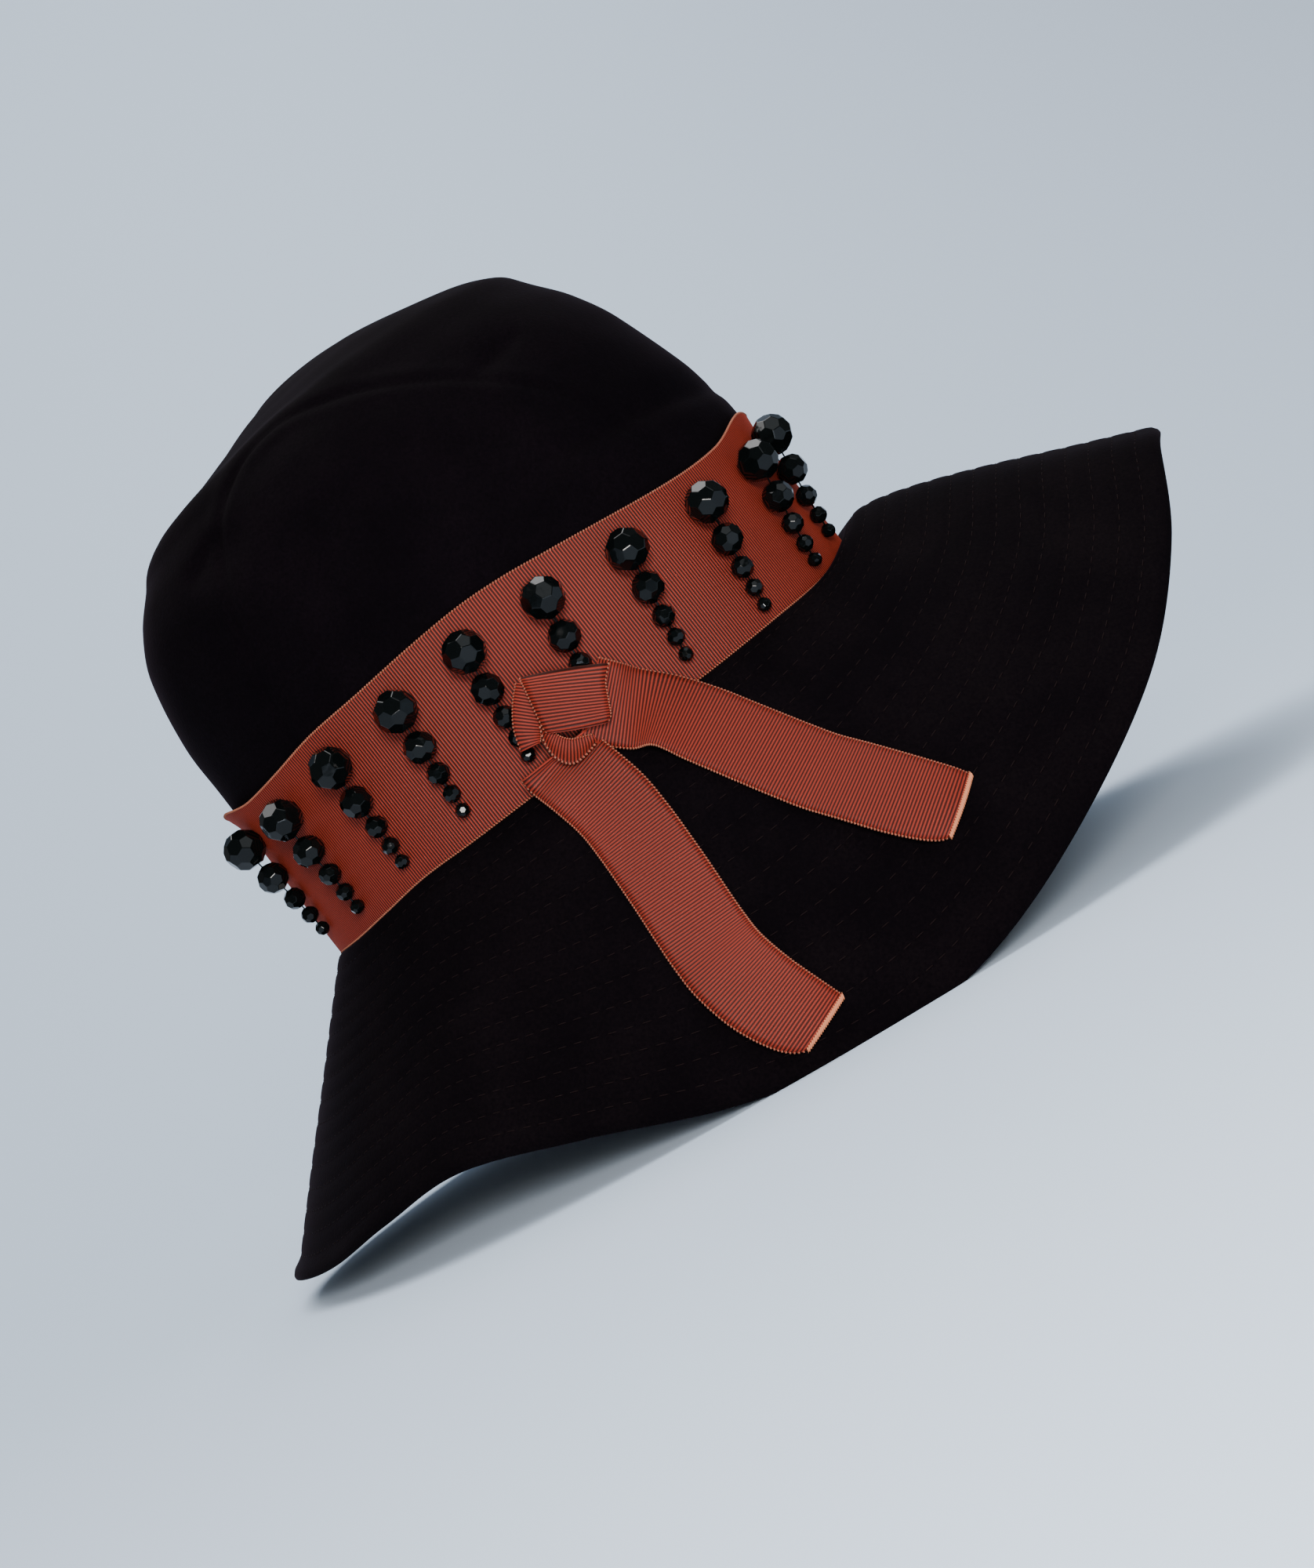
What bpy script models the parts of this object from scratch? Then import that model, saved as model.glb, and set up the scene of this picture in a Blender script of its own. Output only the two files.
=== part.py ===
"""A soft velvet hat with a wide drooping brim and a beaded ribbon band.

Metres, +Z up. The wearer faces +X and their right side is at -Y. The hat is modelled upright, above the
brim's root at the sides of the crown. It is then laid on its brim, with the origin on the surface that it
rests on, below the middle of its outline. Angles run round the crown from the front, and those on the
wearer's right side are negative.
"""

from bisect import bisect_right
from collections import namedtuple
from math import cos, degrees, exp, hypot, pi, radians, sin

import bmesh
import bpy
from mathutils import Matrix, Vector

# Driving dimensions

GAP = 0.0003  # between pieces that touch

HEAD_LENGTH = 0.203  # of the head opening, front to back
HEAD_WIDTH = 0.158
CROWN_WALL = 0.002
CROWN_HEIGHT = 0.160  # from the brim's root at the sides to the top

BRIM_LENGTH = 0.385
BRIM_WIDTH = 0.264
BRIM_WALL = 0.003
BRIM_FORWARD = 0.013  # from the crown's middle to the brim's
BRIM_DROP = 0.1075  # from the root at the sides to the lowest part of the edge
SEAT_MARGIN = 0.0005  # how far the brim's level seat runs past the band

REST_PITCH = radians(8)  # how far the brow tips up when the hat lies on its brim
FLATTENED = 0.0020  # how far the lowest part of the edge is pressed flat there

BAND_WIDTH = 0.054
BAND_WALL = 0.001
BAND_FLARE = 0.003  # of its loose upper edge, where it stands off the most

BEAD_DIAMETERS = (0.0133, 0.0100, 0.0070, 0.0056, 0.0046)
BEAD_SPACE = 0.0006  # between two beads of a column
BEAD_DROP = 0.012  # from the band's upper edge to the top bead's middle
COLUMN_LEAN = 0.13  # how far a column's foot lies back, for each unit of its height
THREAD = 0.0010

RIBBON_WIDTH = 0.024  # of the narrow ribbon of the knot and its tails
RIBBON_WALL = 0.0008
KNOT_ANGLE = radians(-88.4)  # of the knot's middle
KNOT_HEIGHT = 0.0150  # of the knot's middle above the band's foot
KNOT_TURN = radians(38.5)  # how far the knot and its wrap slant down to the front

ROUND_STEPS = 36  # round the crown and the band
BRIM_STEPS = 56
TAIL_STEPS = 12

# Tables of shares, one row for each section

Ring = namedtuple("Ring", "height size shift")
# height is a share of the crown's height, size of its length and width, shift (forward) of its length
CROWN_RINGS = (
    Ring(0.200, 1.000, 0.000),
    Ring(0.425, 1.000, 0.000),
    Ring(0.542, 0.983, -0.009),
    Ring(0.686, 0.928, -0.014),
    Ring(0.769, 0.859, -0.012),
    Ring(0.822, 0.790, -0.008),
    Ring(0.869, 0.719, -0.004),
    Ring(0.894, 0.623, 0.017),
    Ring(0.932, 0.475, 0.026),
    Ring(0.972, 0.270, 0.018),
)

Dent = namedtuple("Dent", "angle height depth wide tall")
# angle and wide in degrees, height and tall shares of the crown's height, depth a share of its length
CROWN_DENTS = (
    Dent(-122, 0.73, 0.012, 9, 0.050),
    Dent(-35, 0.47, 0.008, 28, 0.035),
    Dent(-56, 0.71, 0.008, 8, 0.050),
    Dent(60, 0.60, 0.010, 16, 0.050),
    Dent(128, 0.70, 0.010, 12, 0.060),
)

SeamPoint = namedtuple("SeamPoint", "along height")
# the side panel's outline seen from the side: along is a share of the crown's half length
SIDE_PANEL = (
    SeamPoint(0.70, -0.10),
    SeamPoint(0.70, 0.34),
    SeamPoint(0.655, 0.46),
    SeamPoint(0.56, 0.58),
    SeamPoint(0.42, 0.68),
    SeamPoint(0.23, 0.77),
    SeamPoint(0.03, 0.83),
    SeamPoint(-0.14, 0.86),
    SeamPoint(-0.31, 0.84),
    SeamPoint(-0.45, 0.77),
    SeamPoint(-0.55, 0.65),
    SeamPoint(-0.62, 0.50),
    SeamPoint(-0.66, 0.34),
    SeamPoint(-0.66, -0.10),
)

Edge = namedtuple("Edge", "angle drop rise swell softness")
# drop of the edge, rise of the root and the brim's swell above its slope are shares of BRIM_DROP, and
# softness is how slowly the brim turns down
BRIM_EDGE = (
    Edge(0, 0.242, 0.054, 0.088, 0.200),
    Edge(12, 0.252, 0.050, 0.085, 0.190),
    Edge(22, 0.292, 0.032, 0.065, 0.150),
    Edge(35, 0.487, 0.006, 0.025, 0.110),
    Edge(50, 0.709, -0.003, 0.000, 0.080),
    Edge(66, 0.884, -0.008, 0.000, 0.060),
    Edge(76, 0.970, -0.003, 0.000, 0.060),
    Edge(84, 0.999, 0.009, 0.000, 0.060),
    Edge(92, 0.979, 0.019, 0.000, 0.060),
    Edge(102, 0.890, 0.024, 0.000, 0.060),
    Edge(114, 0.730, 0.030, 0.000, 0.040),
    Edge(126, 0.608, 0.039, 0.000, 0.025),
    Edge(138, 0.612, 0.032, 0.000, 0.015),
    Edge(150, 0.632, 0.028, 0.000, 0.015),
    Edge(165, 0.633, 0.033, 0.000, 0.015),
    Edge(180, 0.629, 0.035, 0.000, 0.015),
)
SWELL_RISE = 0.05  # the share of the way from the seat to the edge in which the swell rises
BRIM_ROWS = (0.10, 0.27, 0.50, 0.75, 1.00)  # shares of the way from the seat to the edge

Wave = namedtuple("Wave", "angle flare rise")
# of the band's loose upper edge: flare is a share of BAND_FLARE, rise of BAND_WIDTH
BAND_EDGE = (
    Wave(-180, 0.75, 0.045),
    Wave(-165, 1.00, 0.050),
    Wave(-150, 0.20, -0.010),
    Wave(-125, 0.10, -0.010),
    Wave(-92, 0.00, 0.040),
    Wave(-75, 0.05, 0.025),
    Wave(-50, 0.10, -0.055),
    Wave(-35, 0.10, -0.050),
    Wave(-20, 0.45, 0.000),
    Wave(-8, 0.35, -0.030),
    Wave(40, 0.15, -0.030),
    Wave(90, 0.00, 0.030),
    Wave(140, 0.25, -0.010),
    Wave(180, 0.75, 0.045),
)
BAND_ROWS = (0.0, 0.45, 0.85, 1.0)

# The bead columns on each side, as shares of the way along the band from the brow to the nape
COLUMN_PLACES = (0.100, 0.163, 0.256, 0.355, 0.447, 0.534, 0.620, 0.709, 0.799, 0.896)

Stop = namedtuple("Stop", "along angle place lift")
# a tail's middle line: along is a share of its run, angle in degrees, place a share of the brim's slope or,
# if negative, of the band's width above its foot, lift a share of RIBBON_WIDTH
TAIL_UPPER = (
    Stop(0.00, -83.0, -0.20, 0.29),
    Stop(0.12, -80.3, -0.06, 0.26),
    Stop(0.25, -78.4, 0.07, 0.16),
    Stop(0.42, -75.8, 0.24, 0.06),
    Stop(0.70, -73.3, 0.48, 0.05),
    Stop(1.00, -70.3, 0.76, 0.06),
)
TAIL_LOWER = (
    Stop(0.00, -94.5, -0.10, 0.29),
    Stop(0.10, -94.5, 0.02, 0.22),
    Stop(0.25, -93.3, 0.20, 0.07),
    Stop(0.40, -93.9, 0.36, 0.05),
    Stop(0.75, -95.3, 0.69, 0.05),
    Stop(1.00, -94.0, 0.89, 0.06),
)

Fold = namedtuple("Fold", "left_along left_up left_out right_along right_up right_out")
# both edges of a folded stretch of ribbon, from the knot's middle, as shares of RIBBON_WIDTH
KNOT_WRAP = (
    Fold(-0.500, 0.230, 0.340, 0.420, 0.360, 0.345),
    Fold(-0.545, 0.300, 0.365, 0.445, 0.440, 0.370),
    Fold(-0.480, 0.170, 0.400, 0.465, 0.270, 0.410),
    Fold(-0.375, -0.060, 0.410, 0.500, 0.040, 0.420),
    Fold(-0.270, -0.280, 0.400, 0.525, -0.130, 0.410),
    Fold(-0.210, -0.340, 0.375, 0.480, -0.215, 0.375),
)
KNOT_FOLD = (
    Fold(-0.585, 0.250, 0.300, -0.420, 0.230, 0.300),
    Fold(-0.580, 0.000, 0.305, -0.330, -0.050, 0.305),
    Fold(-0.560, -0.280, 0.305, -0.300, -0.300, 0.305),
    Fold(-0.500, -0.560, 0.305, -0.310, -0.450, 0.305),
)
KNOT_LOOP = (
    Fold(-0.215, -0.400, 0.375, -0.130, -0.320, 0.325),
    Fold(-0.140, -0.530, 0.385, -0.070, -0.385, 0.325),
    Fold(0.030, -0.600, 0.390, 0.030, -0.420, 0.320),
    Fold(0.190, -0.530, 0.385, 0.130, -0.385, 0.325),
    Fold(0.280, -0.400, 0.375, 0.210, -0.320, 0.325),
)


def value(rows, at, column):
    """A column of a table at a place between its rows, on a smooth curve that is level at both ends."""
    places = [row[0] for row in rows]
    low = min(max(bisect_right(places, at) - 1, 0), len(rows) - 2)
    span = places[low + 1] - places[low]
    share = (at - places[low]) / span
    start = getattr(rows[low], column)
    end = getattr(rows[low + 1], column)

    def slope(row):
        if row in (0, len(rows) - 1):
            return 0.0
        change = getattr(rows[row + 1], column) - getattr(rows[row - 1], column)
        return change / (places[row + 1] - places[row - 1])

    rise = start + (end - start) * share * share * (3 - 2 * share)
    lean = (1 - share) * slope(low) - share * slope(low + 1)
    return rise + span * share * (1 - share) * lean


# The crown's, the band's and the brim's faces, on the upright hat

CROWN_LENGTH = HEAD_LENGTH + 2 * CROWN_WALL
CROWN_WIDTH = HEAD_WIDTH + 2 * CROWN_WALL
BAND_REACH = GAP + BAND_WALL  # of the band's outer face from the crown


def turn_of(angle):
    """An angle in degrees, from -180 to 180."""
    return (degrees(angle) + 180) % 360 - 180


def turns(count):
    """Evenly spaced angles all the way round."""
    return [2 * pi * step / count for step in range(count)]


def oval(angle, length, width, height, forward=0.0):
    """A point on an oval round the crown's middle, or round a middle that lies further forward."""
    return Vector((forward + length / 2 * cos(angle), width / 2 * sin(angle), height))


def brim_value(angle, column):
    """A column of the brim's table, the same on both sides of the hat."""
    return value(BRIM_EDGE, abs(turn_of(angle)), column)


def root_height(angle):
    """The height of the brim's root."""
    return brim_value(angle, "rise") * BRIM_DROP


def dent(angle, height):
    """How far the crown is pushed in at a place."""
    depth = 0.0
    for row in CROWN_DENTS:
        across = turn_of(angle - radians(row.angle))
        depth += row.depth * exp(-((across / row.wide) ** 2) - ((height - row.height) / row.tall) ** 2)
    return depth * CROWN_LENGTH


def crown_point(angle, ring):
    """A point on the crown's outer face."""
    push = 2 * dent(angle, ring.height)
    length = ring.size * CROWN_LENGTH - push
    width = ring.size * CROWN_WIDTH - push
    return oval(angle, length, width, ring.height * CROWN_HEIGHT, ring.shift * CROWN_LENGTH)


def band_top(angle):
    """The band's waving upper edge, as a share of its width."""
    return 1 + value(BAND_EDGE, turn_of(angle), "rise")


def band_point(angle, share, reach=BAND_REACH):
    """A point at a share of the band's width, at its outer face or at another reach from the crown."""
    height = root_height(angle) + GAP + share * BAND_WIDTH
    return oval(angle, CROWN_LENGTH + 2 * reach, CROWN_WIDTH + 2 * reach, height)


def seat_point(angle):
    """The outer edge of the level seat on the brim, on which the crown and the band stand."""
    reach = BAND_REACH + SEAT_MARGIN
    return oval(angle, CROWN_LENGTH + 2 * reach, CROWN_WIDTH + 2 * reach, root_height(angle))


def brim_point(angle, share):
    """A point on the brim's upper face, at a share of the way from the seat to the edge."""
    start = seat_point(angle)
    end = oval(angle, BRIM_LENGTH, BRIM_WIDTH, -brim_value(angle, "drop") * BRIM_DROP, BRIM_FORWARD)
    soft = brim_value(angle, "softness")
    fall = (share - soft * (1 - exp(-share / soft))) / (1 - soft * (1 - exp(-1 / soft)))
    swell = brim_value(angle, "swell") * (1 - exp(-share / SWELL_RISE)) * (1 - share)
    point = start.lerp(end, share)
    point.z = start.z + fall * (end.z - start.z) + swell * BRIM_DROP
    return point


def rest_placement():
    """Lays the upright hat on its brim, with the origin below the middle of the brim's outline."""
    tilt = Matrix.Rotation(-REST_PITCH, 4, "Y")
    edge = [tilt @ brim_point(angle, 1) for angle in turns(360)]
    middle = (min(point.x for point in edge) + max(point.x for point in edge)) / 2
    lowest = min(point.z for point in edge)
    return Matrix.Translation((-middle, 0, -lowest - FLATTENED)) @ tilt


# Making objects

for old in list(bpy.data.objects):
    bpy.data.objects.remove(old)
model = bpy.data.collections.new("beaded_velvet_hat")
cutters = bpy.data.collections.new("cutters")
bpy.context.scene.collection.children.link(model)
bpy.context.scene.collection.children.link(cutters)
rest = bpy.data.objects.new("rest", None)
model.objects.link(rest)
rest.matrix_world = rest_placement()

VELVET = ("velvet", (0.004, 0.002, 0.004), 0.9)
GROSGRAIN = ("grosgrain", (0.235, 0.035, 0.020), 0.7)
GLASS = ("glass", (0.004, 0.006, 0.006), 0.08)


def material(name, finish):
    """A Principled material for one piece, from a finish: its kind, colour and roughness."""
    kind, colour, roughness = finish
    made = bpy.data.materials.new(f"{name}_{kind}")
    made.use_nodes = True
    shader = made.node_tree.nodes["Principled BSDF"]
    shader.inputs["Base Color"].default_value = (*colour, 1)
    shader.inputs["Roughness"].default_value = roughness
    shader.inputs["Metallic"].default_value = 0.0
    return made


def add(mesh, finish):
    """A piece of the hat, named as its mesh."""
    thing = bpy.data.objects.new(mesh.name, mesh)
    mesh.materials.append(material(mesh.name, finish))
    model.objects.link(thing)
    thing.parent = rest
    return thing


def add_cutter(mesh, parent=rest):
    """A mesh that only cuts or joins."""
    thing = bpy.data.objects.new(mesh.name, mesh)
    cutters.objects.link(thing)
    thing.hide_render = True
    thing.display_type = "WIRE"
    thing.parent = parent
    return thing


def mesh_of(name, bm):
    """Turns a bmesh into a mesh and frees it."""
    mesh = bpy.data.meshes.new(name)
    bm.to_mesh(mesh)
    bm.free()
    return mesh


def surface(name, rows, closed, flip=False, tip=None):
    """A mesh through rows of points, closed round each row or not, with a tip past the last row or not."""
    bm = bmesh.new()
    lines = [[bm.verts.new(point) for point in row] for row in rows]
    count = len(lines[0])
    for low, high in zip(lines, lines[1:]):
        for at in range(count if closed else count - 1):
            ahead = (at + 1) % count
            corners = (low[at], low[ahead], high[ahead], high[at])
            bm.faces.new(corners[::-1] if flip else corners)
    if tip is not None:
        top = bm.verts.new(tip)
        for at in range(count):
            bm.faces.new((lines[-1][at], lines[-1][(at + 1) % count], top))
    return mesh_of(name, bm)


def thicken(thing, wall, offset):
    """Gives an open surface its wall: -1 behind its face, 0 on both sides."""
    solidify = thing.modifiers.new("wall", "SOLIDIFY")
    solidify.thickness = wall
    solidify.offset = offset
    solidify.use_even_offset = True
    solidify.use_quality_normals = True


def combine(thing, other, operation):
    """Joins, cuts or keeps what two meshes share, with a Boolean modifier."""
    boolean = thing.modifiers.new(operation.lower(), "BOOLEAN")
    boolean.operation = operation
    boolean.solver = "EXACT"
    boolean.object = other


# Crown: two side panels and a middle panel that runs over the top, from the brow to the nape


def crown_shell(name):
    """The whole crown's outer face, open below."""
    angles = turns(ROUND_STEPS)
    foot = [band_point(angle, 0, 0) for angle in angles]
    rings = [[crown_point(angle, ring) for angle in angles] for ring in CROWN_RINGS]
    return surface(name, [foot, *rings], closed=True, tip=Vector((0, 0, CROWN_HEIGHT)))


def panel_cutter(name, side, grow):
    """A block through one side of the crown with the side panel's outline, grown by an allowance."""
    outline = [Vector((row.along * CROWN_LENGTH / 2, row.height * CROWN_HEIGHT)) for row in SIDE_PANEL]
    grown = []
    for at, point in enumerate(outline):
        before = outline[max(at - 1, 0)]
        after = outline[min(at + 1, len(outline) - 1)]
        ahead = (after - before).normalized()
        grown.append(point + grow * Vector((ahead.y, -ahead.x)))
    near = [Vector((point.x, 0, point.y)) for point in grown]
    far = [Vector((point.x, side * CROWN_WIDTH, point.y)) for point in grown]
    bm = bmesh.new()
    loops = [[bm.verts.new(point) for point in line] for line in (near, far)]
    for at in range(len(grown)):
        ahead = (at + 1) % len(grown)
        bm.faces.new((loops[0][at], loops[0][ahead], loops[1][ahead], loops[1][at]))
    for loop in loops:
        bm.faces.new(loop)
    bmesh.ops.recalc_face_normals(bm, faces=bm.faces)
    return add_cutter(mesh_of(name, bm))


def crown():
    """The three panels, cut out of one shell along the seams."""
    middle = add(crown_shell("crown_middle"), VELVET)
    thicken(middle, CROWN_WALL, -1)
    for name, side in (("right", -1), ("left", 1)):
        panel = add(crown_shell(f"crown_side_{name}"), VELVET)
        thicken(panel, CROWN_WALL, -1)
        combine(panel, panel_cutter(f"panel_{name}", side, 0), "INTERSECT")
        combine(middle, panel_cutter(f"opening_{name}", side, GAP), "DIFFERENCE")


# Brim: a doubled, stitched ring of velvet, flattened where its sides rest


def brim():
    """The brim, with a level seat for the crown."""
    angles = turns(BRIM_STEPS)
    inner = [oval(angle, HEAD_LENGTH, HEAD_WIDTH, root_height(angle)) for angle in angles]
    seat = [seat_point(angle) for angle in angles]
    rows = [[brim_point(angle, share) for angle in angles] for share in BRIM_ROWS]
    thing = add(surface("brim", [inner, seat, *rows], closed=True, flip=True), VELVET)
    thicken(thing, BRIM_WALL, -1)
    bm = bmesh.new()
    bmesh.ops.create_cube(bm, size=1)
    bmesh.ops.scale(bm, verts=bm.verts, vec=(2 * BRIM_LENGTH, 2 * BRIM_WIDTH, BRIM_DROP))
    bmesh.ops.translate(bm, verts=bm.verts, vec=(0, 0, -BRIM_DROP / 2))
    combine(thing, add_cutter(mesh_of("surface_below", bm), parent=None), "DIFFERENCE")


# Hatband: a wide grosgrain ribbon round the crown's foot, loose along its upper edge


def hatband():
    """The ribbon, whose upper edge waves and stands off."""
    rows = []
    for share in BAND_ROWS:
        row = []
        loose = max(0.0, (share - BAND_ROWS[-2]) / (1 - BAND_ROWS[-2]))
        for angle in turns(ROUND_STEPS):
            flare = value(BAND_EDGE, turn_of(angle), "flare") * BAND_FLARE
            row.append(band_point(angle, share * band_top(angle), BAND_REACH + loose * flare))
        rows.append(row)
    thicken(add(surface("hatband", rows, closed=True), GROSGRAIN), BAND_WALL, -1)


# Bead columns: five faceted glass beads of falling size on a thread


def column_angles():
    """The angles of one side's columns, from their places along the band."""
    fine = 360
    places = [pi * step / fine for step in range(fine + 1)]
    points = [band_point(angle, 0) for angle in places]
    run = [0.0]
    for before, after in zip(points, points[1:]):
        run.append(run[-1] + hypot(after.x - before.x, after.y - before.y))
    found = []
    for place in COLUMN_PLACES:
        wanted = run[-1] * place
        high = bisect_right(run, wanted)
        share = (wanted - run[high - 1]) / (run[high] - run[high - 1])
        found.append(places[high - 1] + share * (places[high] - places[high - 1]))
    return found


def bead_places(angle):
    """The middles of one column's beads and their radii, from the top down."""
    places = []
    top = band_top(angle) - BEAD_DROP / BAND_WIDTH
    down = 0.0
    for number, diameter in enumerate(BEAD_DIAMETERS):
        radius = diameter / 2
        if number:
            down += BEAD_DIAMETERS[number - 1] / 2 + BEAD_SPACE + radius
        back = down * COLUMN_LEAN * sin(angle)
        step = hypot(CROWN_LENGTH / 2 * sin(angle), CROWN_WIDTH / 2 * cos(angle))
        turn = angle + back / step
        outward = Vector((cos(turn) / CROWN_LENGTH, sin(turn) / CROWN_WIDTH, 0)).normalized()
        place = band_point(turn, top - down / BAND_WIDTH) + outward * (radius + GAP)
        places.append((place, radius))
    return places


def add_bead(bm, place, radius, cut_corners):
    """Adds a faceted bead: an icosahedron with its corners cut, or a dodecahedron where it is small."""
    ball = bmesh.new()
    bmesh.ops.create_icosphere(ball, subdivisions=1, radius=radius)
    if cut_corners:
        edge = max(edge.calc_length() for edge in ball.edges)
        bmesh.ops.bevel(ball, geom=ball.verts, offset=edge / 3, affect="VERTICES")
    else:
        middles = [face.calc_center_median().normalized() * radius for face in ball.faces]
        ball.clear()
        for middle in middles:
            ball.verts.new(middle)
        bmesh.ops.convex_hull(ball, input=ball.verts)
    bmesh.ops.recalc_face_normals(ball, faces=ball.faces)
    bmesh.ops.translate(ball, verts=ball.verts, vec=place)
    mesh = mesh_of("bead", ball)
    bm.from_mesh(mesh)
    bpy.data.meshes.remove(mesh)


def thread(name, points):
    """A thread through the beads, as a mesh."""
    curve = bpy.data.curves.new(name, "CURVE")
    curve.dimensions = "3D"
    curve.bevel_depth = THREAD / 2
    curve.bevel_resolution = 0
    curve.use_fill_caps = True
    line = curve.splines.new("POLY")
    line.points.add(len(points) - 1)
    for point, place in zip(line.points, points):
        point.co = (*place, 1)
    drawn = bpy.data.objects.new(name, curve)
    cutters.objects.link(drawn)
    mesh = bpy.data.meshes.new_from_object(drawn.evaluated_get(bpy.context.evaluated_depsgraph_get()))
    bpy.data.objects.remove(drawn)
    bm = bmesh.new()
    bm.from_mesh(mesh)
    bpy.data.meshes.remove(mesh)
    bmesh.ops.remove_doubles(bm, verts=bm.verts, dist=0.00001)
    bmesh.ops.recalc_face_normals(bm, faces=bm.faces)
    return mesh_of(name, bm)


def bead_column(name, angle):
    """One column, its beads joined by their thread into one body."""
    places = bead_places(angle)
    bm = bmesh.new()
    for at, (place, radius) in enumerate(places):
        add_bead(bm, place, radius, cut_corners=at == 0)
    column = add(mesh_of(name, bm), GLASS)
    string = thread(f"thread_of_{name}", [place for place, radius in places])
    combine(column, add_cutter(string), "UNION")


# Tails: the narrow ribbon's two ends, which lie on the brim below the knot


def seat_of(angle, place):
    """A point on the brim's slope or, where place is negative, on the band."""
    return brim_point(angle, place) if place >= 0 else band_point(angle, -place)


def tail(name, stops):
    """One end of the ribbon, along its middle line."""
    middles = []
    outwards = []
    for step in range(TAIL_STEPS + 1):
        along = step / TAIL_STEPS
        angle = radians(value(stops, along, "angle"))
        place = value(stops, along, "place")
        near = 0.05
        around = seat_of(angle + near, place) - seat_of(angle - near, place)
        down = seat_of(angle, place + near) - seat_of(angle, place - near)
        outward = down.cross(around).normalized()
        middles.append(seat_of(angle, place) + outward * value(stops, along, "lift") * RIBBON_WIDTH)
        outwards.append(outward)
    rows = []
    for at, middle in enumerate(middles):
        ahead = middles[min(at + 1, TAIL_STEPS)] - middles[max(at - 1, 0)]
        across = outwards[at].cross(ahead).normalized() * RIBBON_WIDTH / 2
        rows.append([middle - across, middle, middle + across])
    thicken(add(surface(name, rows, closed=False), GROSGRAIN), RIBBON_WALL, 0)


# Knot: the ribbon's wrap over the tails, the fold beside it and the small loop below it


def knot_piece(name, folds):
    """A folded stretch of ribbon through its two edges, with a line midway."""
    outward = Vector((0, -1, 0))
    along = Vector((cos(KNOT_TURN), 0, -sin(KNOT_TURN)))
    up = Vector((sin(KNOT_TURN), 0, cos(KNOT_TURN)))
    middle = band_point(KNOT_ANGLE, KNOT_HEIGHT / BAND_WIDTH)
    rows = []
    for fold in folds:
        left = fold.left_along * along + fold.left_up * up + fold.left_out * outward
        right = fold.right_along * along + fold.right_up * up + fold.right_out * outward
        rows.append([middle + RIBBON_WIDTH * left.lerp(right, share) for share in (0.0, 0.5, 1.0)])
    thicken(add(surface(name, rows, closed=False), GROSGRAIN), RIBBON_WALL, 0)


crown()
brim()
hatband()
for number, angle in enumerate(column_angles(), start=1):
    bead_column(f"bead_column_right_{number:02d}", -angle)
    bead_column(f"bead_column_left_{number:02d}", angle)
tail("tail_upper", TAIL_UPPER)
tail("tail_lower", TAIL_LOWER)
knot_piece("knot_wrap", KNOT_WRAP)
knot_piece("knot_fold", KNOT_FOLD)
knot_piece("knot_loop", KNOT_LOOP)
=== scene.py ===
"""A soft black velvet hat with a wide drooping brim, a beaded ribbon band and a small ribbon knot.

Everything is in metres. The hat's own shapes are worked out upright, above the brim's root at the sides of
the crown, and laid on the brim's lower edges by one matrix. The wearer faces +X, and their right is at -Y.
"""

import random
from bisect import bisect_right
from collections import namedtuple
from math import cos, degrees, exp, hypot, pi, radians, sin, sqrt

import bmesh
import bpy
from mathutils import Matrix, Vector, noise


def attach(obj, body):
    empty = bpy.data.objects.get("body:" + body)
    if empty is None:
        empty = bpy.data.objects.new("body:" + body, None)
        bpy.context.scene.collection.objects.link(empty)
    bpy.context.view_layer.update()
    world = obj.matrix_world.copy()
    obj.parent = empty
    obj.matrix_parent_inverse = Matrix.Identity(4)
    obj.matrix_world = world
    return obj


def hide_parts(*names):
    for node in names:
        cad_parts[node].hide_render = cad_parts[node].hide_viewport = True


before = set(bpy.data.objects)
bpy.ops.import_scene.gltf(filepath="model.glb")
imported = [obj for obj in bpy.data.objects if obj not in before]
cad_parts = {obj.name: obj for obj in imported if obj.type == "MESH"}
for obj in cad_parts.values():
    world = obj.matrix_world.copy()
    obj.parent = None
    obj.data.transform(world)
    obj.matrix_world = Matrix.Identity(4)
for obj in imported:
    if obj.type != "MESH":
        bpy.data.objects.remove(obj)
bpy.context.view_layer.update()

MM = 0.001


# Crown
# Three panels of black cotton velvet, two at the sides and one that runs over the top from the brow to the
# nape, sewn right sides together and turned. The seams pull in as fine grooves, and the cloth is soft
# enough to dent where it was pressed.

HEAD_LENGTH = 0.203
HEAD_WIDTH = 0.158
CROWN_WALL = 0.002
CROWN_HEIGHT = 0.160
CROWN_LENGTH = HEAD_LENGTH + 2 * CROWN_WALL
CROWN_WIDTH = HEAD_WIDTH + 2 * CROWN_WALL
CROWN_ROUND = 300
CROWN_RISE = 130
RISE_EASE = 1.8
DOME_FROM = 0.972
TOP_POINT = 0.2 * MM
FOOT_UNDER_BAND = 0.6 * MM

# height and size are shares of the crown's own, and shift is a share of its length, towards the brow
Ring = namedtuple("Ring", "height size shift")
CROWN_RINGS = (
    Ring(0.000, 1.000, 0.000),
    Ring(0.200, 1.000, 0.000),
    Ring(0.425, 1.000, 0.000),
    Ring(0.542, 0.983, -0.009),
    Ring(0.686, 0.928, -0.014),
    Ring(0.769, 0.859, -0.012),
    Ring(0.822, 0.790, -0.008),
    Ring(0.869, 0.719, -0.004),
    Ring(0.894, 0.623, 0.017),
    Ring(0.932, 0.475, 0.026),
    Ring(0.972, 0.270, 0.018),
    Ring(1.000, 0.002, 0.000),
)

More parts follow.
